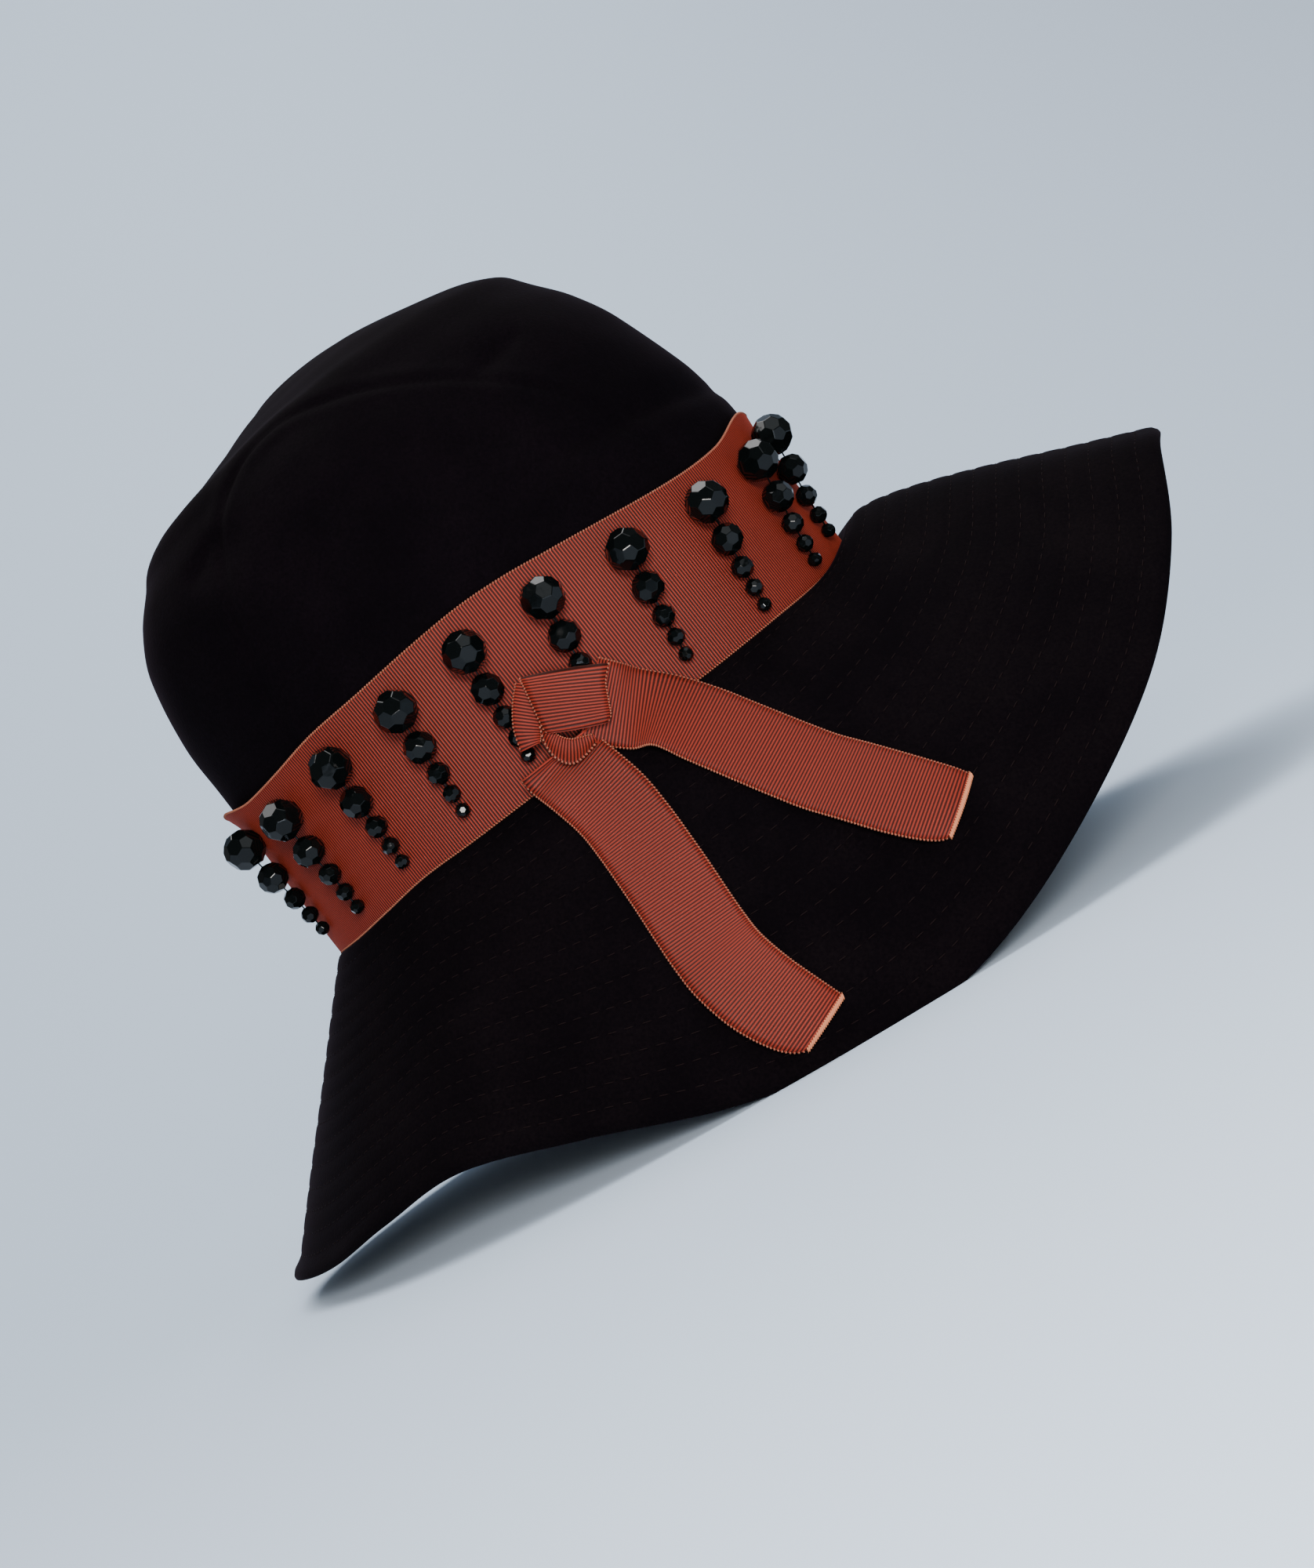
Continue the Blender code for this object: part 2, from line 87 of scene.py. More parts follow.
# angle and wide are in degrees, height and tall are shares of the crown's height, depth of its length
Dent = namedtuple("Dent", "angle height depth wide tall")
CROWN_DENTS = (
    Dent(-122, 0.73, 0.012, 9, 0.050),
    Dent(-35, 0.47, 0.008, 28, 0.035),
    Dent(-56, 0.71, 0.008, 8, 0.050),
    Dent(0, 0.915, -0.022, 34, 0.045),
    Dent(60, 0.60, 0.010, 16, 0.050),
    Dent(128, 0.70, 0.010, 12, 0.060),
)

# the ends of each crease are shares of half the crown's length and of its height, and CREASE_WIDTH is in the
# same measure; depth is a share of the crown's length
Crease = namedtuple("Crease", "along height end_along end_height depth")
CREASES = (
    Crease(0.98, 0.44, 0.41, 0.49, 0.0050),
    Crease(0.42, 0.70, 0.57, 0.72, 0.0045),
    Crease(-0.48, 0.77, -0.60, 0.74, 0.0050),
)
CREASE_WIDTH = 0.018
WAVE_SCALE = 26
CROWN_WAVE = 1.2 * MM
FINE_WAVE_SCALE = 60
FINE_WAVE = 0.18 * MM

SEAM_DEPTH = 0.7 * MM
SEAM_WIDTH = 0.9 * MM
SEAM_PUFF = 0.35 * MM
# both in seam widths
SEAM_PUFF_AWAY = 3.5
SEAM_PUFF_WIDTH = 2
SEAM_STEPS = 8
SEAM_REACH = 0.02

# shares of half the crown's length and of its height
SeamPoint = namedtuple("SeamPoint", "along height")
SIDE_SEAM = (
    SeamPoint(0.700, 0.10),
    SeamPoint(0.700, 0.34),
    SeamPoint(0.655, 0.46),
    SeamPoint(0.560, 0.58),
    SeamPoint(0.420, 0.68),
    SeamPoint(0.230, 0.77),
    SeamPoint(0.030, 0.83),
    SeamPoint(-0.140, 0.86),
    SeamPoint(-0.310, 0.84),
    SeamPoint(-0.450, 0.77),
    SeamPoint(-0.550, 0.65),
    SeamPoint(-0.620, 0.50),
    SeamPoint(-0.660, 0.34),
    SeamPoint(-0.660, 0.10),
)


def curve_value(rows, at, column):
    """A column of a table at a place between its rows, on a smooth curve that is level at both ends."""
    places = [row[0] for row in rows]
    low = min(max(bisect_right(places, at) - 1, 0), len(rows) - 2)
    span = places[low + 1] - places[low]
    share = (at - places[low]) / span
    start = getattr(rows[low], column)
    end = getattr(rows[low + 1], column)

    def slope(row):
        if row in (0, len(rows) - 1):
            return 0.0
        change = getattr(rows[row + 1], column) - getattr(rows[row - 1], column)
        return change / (places[row + 1] - places[row - 1])

    rise = start + (end - start) * share * share * (3 - 2 * share)
    lean = (1 - share) * slope(low) - share * slope(low + 1)
    return rise + span * share * (1 - share) * lean


def smooth_line(points, steps):
    """A smooth curve through points, with the same number of steps between each two."""
    line = []
    for at in range(len(points) - 1):
        before = points[max(at - 1, 0)]
        after = points[min(at + 2, len(points) - 1)]
        start, end = points[at], points[at + 1]
        for step in range(steps):
            t = step / steps
            line.append(0.5 * (2 * start + (end - before) * t
                               + (2 * before - 5 * start + 4 * end - after) * t * t
                               + (3 * start - before - 3 * end + after) * t ** 3))
    line.append(points[-1])
    return line


def turn_of(angle):
    """An angle in degrees, from -180 to 180."""
    return (degrees(angle) + 180) % 360 - 180


def turns(count):
    """Evenly spaced angles all the way round."""
    return [2 * pi * step / count for step in range(count)]


def oval(angle, length, width, height, forward=0.0):
    """A point on an oval round the crown's middle, or round a middle that lies further forward."""
    return Vector((forward + length / 2 * cos(angle), width / 2 * sin(angle), height))


def dent(angle, height):
    """How far the crown is pushed in at a place."""
    depth = 0.0
    for row in CROWN_DENTS:
        across = turn_of(angle - radians(row.angle))
        depth += row.depth * exp(-((across / row.wide) ** 2) - ((height - row.height) / row.tall) ** 2)
    return depth * CROWN_LENGTH


def crown_face(angle, height):
    """A point on the crown's outer face, without its seams."""
    push = 2 * dent(angle, height)
    size = curve_value(CROWN_RINGS, min(height, DOME_FROM), "size")
    if height > DOME_FROM:
        size *= sqrt((1 - height) / (1 - DOME_FROM))
    shift = curve_value(CROWN_RINGS, height, "shift") * CROWN_LENGTH
    length = max(size * CROWN_LENGTH - push, TOP_POINT)
    width = max(size * CROWN_WIDTH - push, TOP_POINT)
    return oval(angle, length, width, height * CROWN_HEIGHT, shift)


def mesh_piece(name, bm):
    """A visible piece made from a bmesh, smooth shaded, that rides on the hat's one body."""
    mesh = bpy.data.meshes.new(name)
    bm.to_mesh(mesh)
    bm.free()
    mesh.shade_smooth()
    piece = bpy.data.objects.new(name, mesh)
    bpy.context.scene.collection.objects.link(piece)
    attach(piece, "root")
    return piece


def woven(bm, rows, closed):
    """Adds a sheet of faces through rows of points, joined end to end where it is closed."""
    lines = [[bm.verts.new(point) for point in row] for row in rows]
    count = len(lines[0])
    for low, high in zip(lines, lines[1:]):
        for at in range(count if closed else count - 1):
            ahead = (at + 1) % count
            bm.faces.new((low[at], low[ahead], high[ahead], high[at]))
    return lines


seam_points = [Vector((row.along * CROWN_LENGTH / 2, row.height * CROWN_HEIGHT)) for row in SIDE_SEAM]
seam_line = smooth_line(seam_points, SEAM_STEPS)


def line_distance(point, start, end):
    """How far a point lies from a straight line between two others."""
    run = end - start
    share = min(max((point - start).dot(run) / run.length_squared, 0), 1)
    return (point - start - run * share).length


def crease_push(point):
    """How far the worn creases in the side panels sink at a point of the crown."""
    flat = Vector((point.x / CROWN_LENGTH * 2, point.z / CROWN_HEIGHT))
    depth = 0.0
    for row in CREASES:
        away = line_distance(flat, Vector((row.along, row.height)), Vector((row.end_along, row.end_height)))
        depth += row.depth * exp(-(away / CREASE_WIDTH) ** 2)
    return depth * CROWN_LENGTH


def seam_push(point):
    """How far the seam pulls a point of the crown in: a fine groove with a slight swell beside it."""
    flat = Vector((point.x, point.z))
    nearest = 1.0
    for start, end in zip(seam_line, seam_line[1:]):
        if abs(start.x - flat.x) < SEAM_REACH and abs(start.y - flat.y) < SEAM_REACH:
            nearest = min(nearest, line_distance(flat, start, end))
    groove = SEAM_DEPTH * exp(-(nearest / SEAM_WIDTH) ** 2)
    beside = nearest - SEAM_PUFF_AWAY * SEAM_WIDTH
    puff = SEAM_PUFF * exp(-(beside / (SEAM_PUFF_WIDTH * SEAM_WIDTH)) ** 2)
    return groove - puff


# The crown's foot follows the brim's root, so the brim's slope, the band's seat and the matrix that lays the
# hat on its brim are worked out here. Heights run up from the root at the sides of the crown.

GAP = 0.3 * MM
BRIM_LENGTH = 0.385
BRIM_WIDTH = 0.264
BRIM_WALL = 0.003
BRIM_FORWARD = 0.013
BRIM_DROP = 0.1075
SEAT_MARGIN = 0.5 * MM
REST_PITCH = radians(8)
FLATTENED = 2.0 * MM
BAND_WIDTH = 0.054
BAND_WALL = 1.0 * MM
BAND_REACH = GAP + BAND_WALL

# drop, rise and swell are shares of BRIM_DROP; softness is the share of the slope that bends from the root
Edge = namedtuple("Edge", "angle drop rise swell softness")
BRIM_EDGE = (
    Edge(0, 0.242, 0.054, 0.088, 0.200),
    Edge(12, 0.252, 0.050, 0.085, 0.190),
    Edge(22, 0.292, 0.032, 0.065, 0.150),
    Edge(35, 0.487, 0.006, 0.025, 0.110),
    Edge(50, 0.709, -0.003, 0.000, 0.080),
    Edge(66, 0.884, -0.008, 0.000, 0.060),
    Edge(76, 0.970, -0.003, 0.000, 0.060),
    Edge(84, 0.999, 0.009, 0.000, 0.060),
    Edge(92, 0.979, 0.019, 0.000, 0.060),
    Edge(102, 0.890, 0.024, 0.000, 0.060),
    Edge(114, 0.730, 0.030, 0.000, 0.040),
    Edge(126, 0.608, 0.039, 0.000, 0.025),
    Edge(138, 0.612, 0.032, 0.000, 0.015),
    Edge(150, 0.632, 0.028, 0.000, 0.015),
    Edge(165, 0.633, 0.033, 0.000, 0.015),
    Edge(180, 0.629, 0.035, 0.000, 0.015),
)
SWELL_RISE = 0.05


def brim_value(angle, column):
    """A column of the brim's table, the same on both sides of the hat."""
    return curve_value(BRIM_EDGE, abs(turn_of(angle)), column)


def root_height(angle):
    """The height of the brim's root."""
    return brim_value(angle, "rise") * BRIM_DROP


def band_point(angle, share, reach=BAND_REACH):
    """A point at a share of the band's width, at its outer face or at another reach from the crown."""
    height = root_height(angle) + GAP + share * BAND_WIDTH
    return oval(angle, CROWN_LENGTH + 2 * reach, CROWN_WIDTH + 2 * reach, height)


def brim_section(angle):
    """A function that gives points of the brim's upper face at one angle."""
    reach = BAND_REACH + SEAT_MARGIN
    start = oval(angle, CROWN_LENGTH + 2 * reach, CROWN_WIDTH + 2 * reach, root_height(angle))
    end = oval(angle, BRIM_LENGTH, BRIM_WIDTH, -brim_value(angle, "drop") * BRIM_DROP, BRIM_FORWARD)
    soft = brim_value(angle, "softness")
    swell = brim_value(angle, "swell")

    def point_at(share):
        fall = (share - soft * (1 - exp(-share / soft))) / (1 - soft * (1 - exp(-1 / soft)))
        lift = swell * (1 - exp(-share / SWELL_RISE)) * (1 - share)
        point = start.lerp(end, share)
        point.z = start.z + fall * (end.z - start.z) + lift * BRIM_DROP
        return point

    return point_at


def brim_point(angle, share):
    """A point on the brim's upper face, at a share of the way from the seat to the edge."""
    return brim_section(angle)(share)


def rest_placement():
    """Lays the upright hat on its brim, with the origin below the middle of the brim's outline."""
    tilt = Matrix.Rotation(-REST_PITCH, 4, "Y")
    edge = [tilt @ brim_point(angle, 1) for angle in turns(360)]
    middle = (min(point.x for point in edge) + max(point.x for point in edge)) / 2
    lowest = min(point.z for point in edge)
    return Matrix.Translation((-middle, 0, -lowest - FLATTENED)) @ tilt


laid = rest_placement()


def crown_mesh():
    """The crown's outer face, with its seams, creases, dents and soft waves."""
    outer = []
    for level in range(CROWN_RISE + 1):
        share = level / CROWN_RISE
        row = []
        for angle in turns(CROWN_ROUND):
            foot = (root_height(angle) + FOOT_UNDER_BAND) / CROWN_HEIGHT
            height = foot + (1 - foot) * (1 - (1 - share) ** RISE_EASE)
            row.append(crown_face(angle, min(height, 1.0)))
        outer.append(row)
    bm = bmesh.new()
    lines = woven(bm, outer, closed=True)
    bm.normal_update()
    for line in lines[1:]:
        for vert in line:
            wave = noise.noise(vert.co * WAVE_SCALE) * CROWN_WAVE
            wave += noise.noise(vert.co * FINE_WAVE_SCALE) * FINE_WAVE
            vert.co -= vert.normal * (seam_push(vert.co) + crease_push(vert.co) + wave)
    bmesh.ops.contextual_create(bm, geom=lines[-1])
    bm.transform(laid)
    return mesh_piece("crown_velvet", bm)


def add_wall(piece, thickness, offset=-1):
    """Gives one layer of cloth its thickness, behind its face or, at offset 0, to both sides of it."""
    wall = piece.modifiers.new("wall", "SOLIDIFY")
    wall.thickness = thickness
    wall.offset = offset


def linear(hex_code):
    """A colour as Blender's sockets take it, from its sRGB hex code."""
    channels = [int(hex_code[at:at + 2], 16) / 255 for at in (1, 3, 5)]
    return tuple(c / 12.92 if c <= 0.04045 else ((c + 0.055) / 1.055) ** 2.4 for c in channels) + (1.0,)


def add_node(material, kind, links=(), **settings):
    """Adds a shader node: settings name its own options or its sockets, links its input sockets."""
    node = material.node_tree.nodes.new(kind)
    for name, setting in settings.items():
        socket = name.replace("_", " ")
        if hasattr(node, name):
            setattr(node, name, setting)
        else:
            next(found for found in node.inputs if found.name == socket).default_value = setting
    for socket, source in dict(links).items():
        material.node_tree.links.new(source, node.inputs[socket])
    return node


def new_material(name, **finish):
    """A material whose finish sets the sockets of its Principled shader."""
    material = bpy.data.materials.new(name)
    material.use_nodes = True
    shader = material.node_tree.nodes["Principled BSDF"]
    for socket, setting in finish.items():
        shader.inputs[socket.replace("_", " ")].default_value = setting
    return material


def into_shader(material, socket, output):
    """Links a node's output into a socket of the material's Principled shader."""
    material.node_tree.links.new(output, material.node_tree.nodes["Principled BSDF"].inputs[socket])


# Patches of brushed pile are 15 to 40 mm across. A pile tuft is about 0.3 mm, and is drawn at 0.9 mm, the
# finest that shows.
PILE_PATCH = 26.3 * MM
PILE_TUFT = 0.909 * MM


def cotton_velvet(name, ground, rubbed):
    """Black cotton velvet: cut pile, woven then sheared. It swallows light, with a faint purple-brown sheen
    where the pile is seen from its side, and the pile lies in soft patches where hands brushed it."""
    material = new_material(name, Roughness=0.92, Specular_IOR_Level=0.04, Sheen_Weight=0.030,
                            Sheen_Roughness=0.30, Sheen_Tint=linear("#8A5C7C"))
    place = add_node(material, "ShaderNodeTexCoord").outputs["Object"]
    patches = add_node(material, "ShaderNodeTexNoise", {"Vector": place}, Scale=1 / PILE_PATCH, Detail=3.0)
    tufts = add_node(material, "ShaderNodeTexNoise", {"Vector": place}, Scale=1 / PILE_TUFT, Detail=2.0)
    mixed = add_node(material, "ShaderNodeMath", {0: patches.outputs["Fac"], 1: tufts.outputs["Fac"]},
                     operation="MULTIPLY")
    ramp = add_node(material, "ShaderNodeValToRGB", {"Fac": mixed.outputs[0]})
    ramp.color_ramp.elements[0].position = 0.15
    ramp.color_ramp.elements[0].color = linear(ground)
    ramp.color_ramp.elements[1].position = 0.45
    ramp.color_ramp.elements[1].color = linear(rubbed)
    bump = add_node(material, "ShaderNodeBump", {"Height": tufts.outputs["Fac"]}, Strength=0.35,
                    Distance=0.3 * MM)
    into_shader(material, "Base Color", ramp.outputs["Color"])
    into_shader(material, "Normal", bump.outputs["Normal"])
    return material


crown = crown_mesh()
crown.data.materials.append(cotton_velvet("cotton_velvet_crown", "#030103", "#080407"))
add_wall(crown, CROWN_WALL)
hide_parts("crown_middle", "crown_side_right", "crown_side_left")


# Brim
# Two layers of the same velvet over a soft interlining, machine-stitched in rows 7 mm apart that follow the
# head opening. Each row of stitches pulls the pile in, so the brim is faintly quilted, and its turned edge
# is about 3 mm thick.

BRIM_ROUND = 480
STITCH_ROWS = 15
ROW_DEPTH = 0.35 * MM
# ROW_WIDTH and UNSTITCHED are in row spacings, and FLICK_REACH in degrees
ROW_WIDTH = 0.14
ROW_STEPS = 5
UNSTITCHED = 0.4
BRIM_WAVE = 0.8 * MM
EDGE_STEPS = 5
EDGE_BULGE = 0.5 * MM
EDGE_THIN = 0.35
EDGE_TAPER = 40
BACK_FLICK = 2.6 * MM
FLICK_REACH = 45
FLICK_FROM = 0.93
STITCH_LENGTH = 3.0 * MM
STITCH_SPACE = 1.3 * MM
STITCH_WIDTH = 0.30 * MM
STITCH_SINK = 0.6
STITCH_RAISED = 0.30
STITCH_STRAY = 0.05


def quilted(share):
    """How far the stitch rows pull the brim's face in at a share of its slope."""
    place = share * STITCH_ROWS
    beside = abs(place - round(place))
    inside = UNSTITCHED < place < STITCH_ROWS - UNSTITCHED
    return ROW_DEPTH * exp(-(beside / ROW_WIDTH) ** 2) if inside else 0.0


def flick(angle, share):
    """How far the brim's edge turns outwards at the nape."""
    near_nape = max(0.0, 1 - abs(turn_of(angle - pi)) / FLICK_REACH)
    return BACK_FLICK * near_nape * max(0.0, (share - FLICK_FROM) / (1 - FLICK_FROM)) ** 2


def brim_wave(point, angle, share):
    """How far the brim waves outwards at a point, with its flick at the nape."""
    return noise.noise(point * WAVE_SCALE) * BRIM_WAVE * share + flick(angle, share)


def brim_frame(angle, share):
    """A point on the brim's upper face and the direction that it faces."""
    near = 0.004
    section = brim_section(angle)
    down = section(min(share + near, 1)) - section(max(share - near, 0))
    around = brim_point(angle + near, share) - brim_point(angle - near, share)
    return section(share), around.cross(down).normalized() * -1


def brim_mesh():
    """The brim's closed form: upper face, turned edge and lower face, with its seat under the crown."""
    angles = turns(BRIM_ROUND)
    shares = [step / (STITCH_ROWS * ROW_STEPS) for step in range(STITCH_ROWS * ROW_STEPS + 1)]
    upper = []
    lower = []
    for share in shares:
        top = []
        under = []
        for angle in angles:
            point, facing = brim_frame(angle, share)
            pull = quilted(share)
            taper = min(1.0, (1 - share) * EDGE_TAPER + EDGE_THIN)
            middle = point - facing * (BRIM_WALL / 2 - brim_wave(point, angle, share))
            top.append(middle + facing * (BRIM_WALL / 2 * taper - pull))
            under.append(middle - facing * (BRIM_WALL / 2 * taper - pull))
        upper.append(top)
        lower.append(under)
    inner = [oval(angle, HEAD_LENGTH, HEAD_WIDTH, root_height(angle)) for angle in angles]
    deep = [oval(angle, HEAD_LENGTH, HEAD_WIDTH, root_height(angle) - BRIM_WALL) for angle in angles]
    rim = []
    for step in range(1, EDGE_STEPS):
        share = step / EDGE_STEPS
        bend = []
        for start, end, before in zip(upper[-1], lower[-1], upper[-3]):
            out = (start - before).normalized()
            bend.append(start.lerp(end, share) + out * EDGE_BULGE * sin(pi * share))
        rim.append(bend)
    bm = bmesh.new()
    lines = woven(bm, [inner, *upper, *rim, *lower[::-1], deep], closed=True)
    for at in range(BRIM_ROUND):
        ahead = (at + 1) % BRIM_ROUND
        bm.faces.new((lines[-1][at], lines[-1][ahead], lines[0][ahead], lines[0][at]))
    bmesh.ops.recalc_face_normals(bm, faces=bm.faces)
    bm.transform(laid)
    # the cloth is pressed flat where the hat rests on it
    for vert in bm.verts:
        vert.co.z = max(vert.co.z, 0.0)
    return mesh_piece("brim_velvet", bm)


def add_stitch(bm, start, end, facing, width=STITCH_WIDTH):
    """Adds one stitch: a short thread that dips in at both ends."""
    ahead = (end - start).normalized()
    side = facing.cross(ahead) * width / 2
    top = facing * width / 2
    sink = facing * width * STITCH_SINK
    quarter = (end - start) / 4
    rings = []
    for middle in (start + quarter, end - quarter):
        rings.append([bm.verts.new(middle + offset) for offset in (side, top, -side, -top)])
    tips = (bm.verts.new(start - sink), bm.verts.new(end - sink))
    for at in range(4):
        other = (at + 1) % 4
        bm.faces.new((rings[0][at], rings[0][other], rings[1][other], rings[1][at]))
        bm.faces.new((tips[0], rings[0][other], rings[0][at]))
        bm.faces.new((rings[1][at], rings[1][other], tips[1]))


def stitch_mesh():
    """All the brim's stitches that show on its upper face, row by row."""
    bm = bmesh.new()
    chance = random.Random(3)
    for row in range(1, STITCH_ROWS):
        share = row / STITCH_ROWS
        fine = [brim_point(angle, share) for angle in turns(180)]
        length = sum((a - b).length for a, b in zip(fine, fine[1:] + fine[:1]))
        count = int(length / (STITCH_LENGTH + STITCH_SPACE))
        half = pi / count * STITCH_LENGTH / (STITCH_LENGTH + STITCH_SPACE)
        for number in range(count):
            middle = 2 * pi * (number + chance.uniform(-STITCH_STRAY, STITCH_STRAY)) / count
            here, facing = brim_frame(middle, share)
            lift = facing * (brim_wave(here, middle, share) - ROW_DEPTH + STITCH_WIDTH * STITCH_RAISED)
            start = brim_point(middle - half, share) + lift
            end = brim_point(middle + half, share) + lift
            add_stitch(bm, start, end, facing)
    bmesh.ops.recalc_face_normals(bm, faces=bm.faces)
    bm.transform(laid)
    return mesh_piece("brim_stitches", bm)


brim = brim_mesh()
brim.data.materials.append(cotton_velvet("cotton_velvet_brim", "#030103", "#090507"))
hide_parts("brim")

# Mercerised cotton sewing thread, dyed black: smoother than the pile, so it catches a little more light.
sewing_thread = new_material("mercerised_cotton_thread", Base_Color=linear("#120809"), Roughness=0.80,
                             Specular_IOR_Level=0.08)
stitches = stitch_mesh()
stitches.data.materials.append(sewing_thread)


# Hatband
# A wide rust-brown grosgrain ribbon, wound once round the crown's foot and tacked along its lower edge. Its
# ribs are thick weft cords that run across it, a little under 1 mm apart, between two scalloped selvedges.
# The upper edge is loose: it waves, and curls away from the crown at the nape.

RIB = 0.95 * MM
RIB_HEIGHT = 0.26 * MM
RIB_STEPS = 4
RIB_SHADE = 2.6
SELVEDGE_HEIGHT = 0.4
LOOP_WIDTH = 0.80 * MM
LOOP_HALF = 0.42
BAND_CLOTH = 0.5 * MM
BAND_FLARE = 3.0 * MM
BAND_SCALLOP = 0.16 * MM
LOOSE_FROM = 0.8
LOOSE_EASE = 1.5
SLACK_WAVES = 3
BAND_SLACK = 0.7 * MM
NAPE_SLACK = 1.8

# flare is a share of BAND_FLARE, and rise is a share of the band's width
Wave = namedtuple("Wave", "angle flare rise")
BAND_EDGE = (
    Wave(-180, 0.75, 0.045),
    Wave(-165, 1.00, 0.050),
    Wave(-150, 0.20, -0.010),
    Wave(-125, 0.10, -0.010),
    Wave(-92, 0.00, 0.040),
    Wave(-75, 0.05, 0.025),
    Wave(-50, 0.10, -0.055),
    Wave(-35, 0.10, -0.050),
    Wave(-20, 0.45, 0.000),
    Wave(-8, 0.35, -0.030),
    Wave(40, 0.15, -0.030),
    Wave(90, 0.00, 0.030),
    Wave(140, 0.25, -0.010),
    Wave(180, 0.75, 0.045),
)
BAND_SHARES = (0.0, 0.008, 0.02, 0.10, 0.25, 0.40, 0.55, 0.70, 0.80, 0.87, 0.93, 0.98, 0.992, 1.0)


def band_top(angle):
    """The band's waving upper edge, as a share of its width."""
    return 1 + curve_value(BAND_EDGE, turn_of(angle), "rise")


def band_outward(angle):
    """The direction that the band faces."""
    return Vector((cos(angle) / CROWN_LENGTH, sin(angle) / CROWN_WIDTH, 0)).normalized()


def rib_rise(step):
    """How high a rib stands at one of its steps, from 0 in the valley to 1 on the cord."""
    return 0.5 + 0.5 * cos(2 * pi * step / RIB_STEPS)


def band_ring():
    """Angles that part the band into equal steps, four to a rib, and the band's whole length."""
    fine = 1440
    angles = [2 * pi * step / fine for step in range(fine + 1)]
    points = [band_point(angle, 0) for angle in angles]
    run = [0.0]
    for before, after in zip(points, points[1:]):
        run.append(run[-1] + hypot(after.x - before.x, after.y - before.y))
    count = round(run[-1] / RIB) * RIB_STEPS
    found = []
    for step in range(count):
        wanted = run[-1] * step / count
        high = bisect_right(run, wanted)
        share = (wanted - run[high - 1]) / (run[high] - run[high - 1])
        found.append(angles[high - 1] + share * (angles[high] - angles[high - 1]))
    return found, run[-1]


def band_rows(angles):
    """Points on the ribbed ribbon, whose upper edge waves and stands off, most loosely at the nape."""
    rows = []
    for share in BAND_SHARES:
        row = []
        loose = max(0.0, (share - LOOSE_FROM) / (1 - LOOSE_FROM)) ** LOOSE_EASE
        selvedge = share in (BAND_SHARES[0], BAND_SHARES[-1])
        for at, angle in enumerate(angles):
            flare = curve_value(BAND_EDGE, turn_of(angle), "flare") * BAND_FLARE * loose
            rib = RIB_HEIGHT * rib_rise(at) * (SELVEDGE_HEIGHT if selvedge else 1.0)
            loosest = 1 + NAPE_SLACK * max(0.0, -cos(angle)) ** 4
            wave = noise.noise(Vector((cos(angle) * SLACK_WAVES, sin(angle) * SLACK_WAVES, share * 2)))
            slack = wave * BAND_SLACK * share * loosest
            point = band_point(angle, share * band_top(angle), BAND_REACH + flare + rib + slack)
            if selvedge:
                point.z += BAND_SCALLOP * cos(2 * pi * at / RIB_STEPS) * (1 if share else -1)
            row.append(point)
        rows.append(row)
    return rows


def band_mesh(rows):
    """The band's cloth, through rows of points."""
    bm = bmesh.new()
    woven(bm, rows, closed=True)
    bm.transform(laid)
    return mesh_piece("hatband_grosgrain", bm)


def selvedge_mesh(name, edges):
    """The small loops that the weft makes along a ribbon's edges, one to a rib."""
    bm = bmesh.new()
    for points, facings in edges:
        for at in range(1, len(points) - 1, RIB_STEPS):
            half = (points[at + 1] - points[at - 1]).normalized() * RIB * LOOP_HALF
            add_stitch(bm, points[at] - half, points[at] + half, facings[at], LOOP_WIDTH)
    bmesh.ops.recalc_face_normals(bm, faces=bm.faces)
    bm.transform(laid)
    loops = mesh_piece(name, bm)
    loops.data.materials.append(selvedge_weft)


# The dye has faded in patches about 33 mm across. The warp yarns that wrap each rib are 0.2 mm apart, and are
# drawn at twice that, the finest that shows.
FADE_PATCH = 33.3 * MM
WARP_YARN = 0.3846 * MM
# The mix node has a socket A, B and Result for each kind of data; these are the colour ones.
MIX_FIRST, MIX_SECOND, MIX_RESULT = 6, 7, 2


def grosgrain(name, cord, valley):
    """Rayon-faced grosgrain: ribs of stout cord wrapped in fine, bright warp. Light runs along each rib; the
    valleys between them are painted near-black, a painted shade between the ribs, and the dye is a little
    uneven where the ribbon has faded."""
    material = new_material(name, Roughness=0.55, Specular_IOR_Level=0.15, Sheen_Weight=0.06,
                            Sheen_Roughness=0.45, Sheen_Tint=linear("#D08070"))
    place = add_node(material, "ShaderNodeTexCoord").outputs["Object"]
    fade = add_node(material, "ShaderNodeTexNoise", {"Vector": place}, Scale=1 / FADE_PATCH, Detail=4.0)
    painted_valley_shade = add_node(material, "ShaderNodeAttribute", attribute_name="rib")
    # painted shade: the valley colour darkens each point by how low it lies between the ribs
    ribs = add_node(material, "ShaderNodeMix", {"Factor": painted_valley_shade.outputs["Fac"]}, data_type="RGBA")
    ribs.inputs[MIX_FIRST].default_value = linear(valley)
    ribs.inputs[MIX_SECOND].default_value = linear(cord)
    tone = add_node(material, "ShaderNodeMapRange", {"Value": fade.outputs["Fac"]}, To_Min=0.85, To_Max=1.12)
    shade = add_node(material, "ShaderNodeHueSaturation",
                     {"Color": ribs.outputs[MIX_RESULT], "Value": tone.outputs["Result"]})
    warp = add_node(material, "ShaderNodeTexNoise", {"Vector": place}, Scale=1 / WARP_YARN, Detail=1.0)
    bump = add_node(material, "ShaderNodeBump", {"Height": warp.outputs["Fac"]}, Strength=0.25,
                    Distance=0.2 * MM)
    into_shader(material, "Base Color", shade.outputs["Color"])
    into_shader(material, "Normal", bump.outputs["Normal"])
    return material


